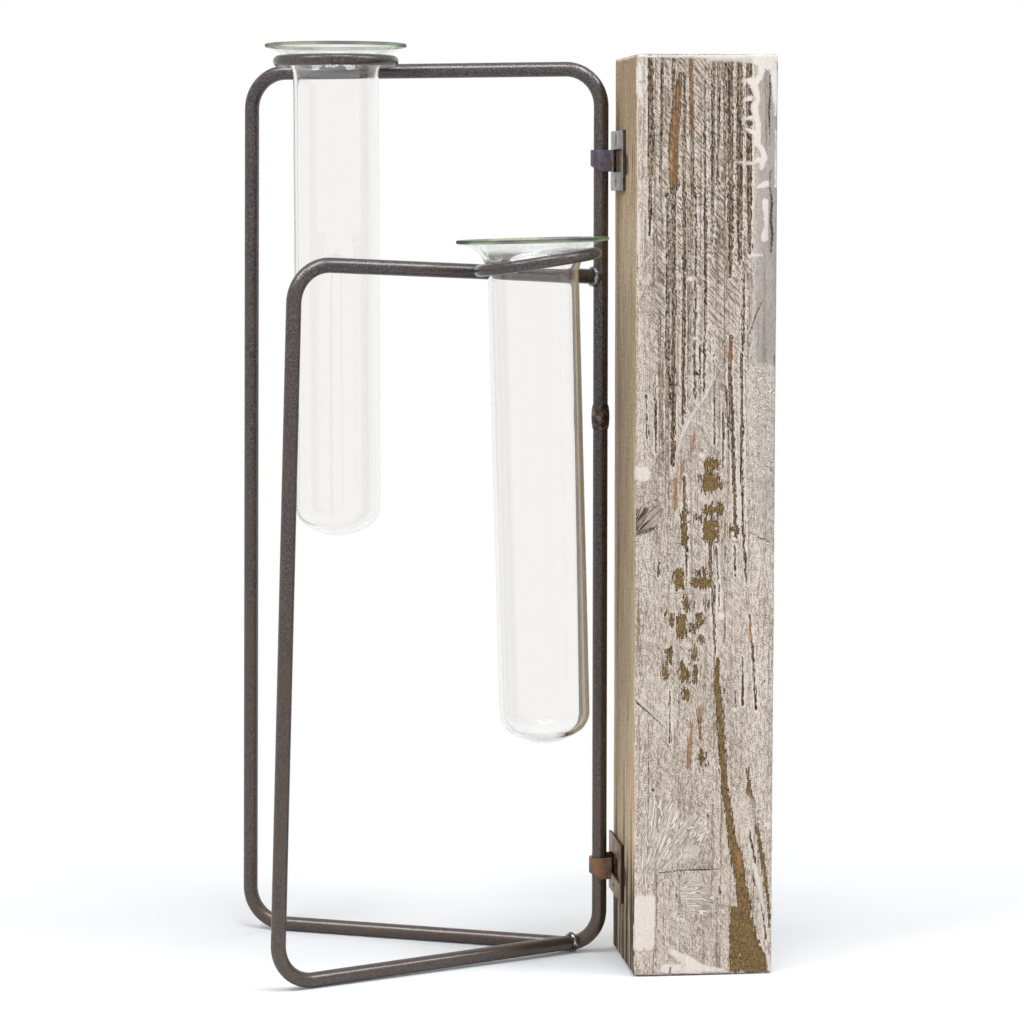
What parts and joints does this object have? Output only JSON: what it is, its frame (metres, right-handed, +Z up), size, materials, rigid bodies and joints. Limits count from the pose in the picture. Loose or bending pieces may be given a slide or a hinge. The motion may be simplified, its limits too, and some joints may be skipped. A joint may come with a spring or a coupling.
{
  "type": "test tube vase",
  "caption": "Bud vase with flared glass test tubes hung in rings on a welded rod frame, which is hinged to an upright whitewashed timber post.",
  "frame": {"origin": "on the surface it stands on, under the middle of the whole object's box", "axes": "+Z up along the post, +X to the right as seen from the front, from the frame towards the post, +Y to the back"},
  "size_m": [0.1732, 0.115, 0.3097],
  "materials": {
    "whitewashed_timber": "worn chalky whitewash over rough sawn brown timber",
    "dark_rod": "dark gunmetal, lightly hammered, under thin lacquer",
    "plate_steel": "raw sheet steel with heat and rust tints",
    "weld_metal": "bright rippled weld bead",
    "screw_steel": "dull zinc",
    "clear_glass": "clear blown glass with a green edge"
  },
  "bodies": {
    "post": {"timber_post": "whitewashed_timber", "upper_hinge_plate": "plate_steel", "lower_hinge_plate": "plate_steel", "upper_plate_screws": "screw_steel", "lower_plate_screws": "screw_steel"},
    "frame": {"back_loop": "dark_rod", "front_loop": "dark_rod", "closing_weld": "weld_metal", "front_top_weld": "weld_metal", "front_bottom_weld": "weld_metal", "upper_ring": "dark_rod", "lower_ring": "dark_rod", "upper_ring_weld": "weld_metal", "lower_ring_weld": "weld_metal"},
    "upper_tube": {"upper_test_tube": "clear_glass"},
    "lower_tube": {"lower_test_tube": "clear_glass"}
  },
  "joints": [
    {"name": "frame_hinge", "type": "hinge", "parent": "post", "child": "frame", "pos_m": [0.03333, 0.00221, 0], "axis": [0, 0, 1], "range_deg": [-82, 12]},
    {"name": "upper_tube_lift", "type": "slide", "parent": "frame", "child": "upper_tube", "axis": [0, 0, 1], "range_m": [0, 0.175]},
    {"name": "lower_tube_lift", "type": "slide", "parent": "frame", "child": "lower_tube", "axis": [-0.0262, 0, 0.9997], "range_m": [0, 0.175]}
  ]
}
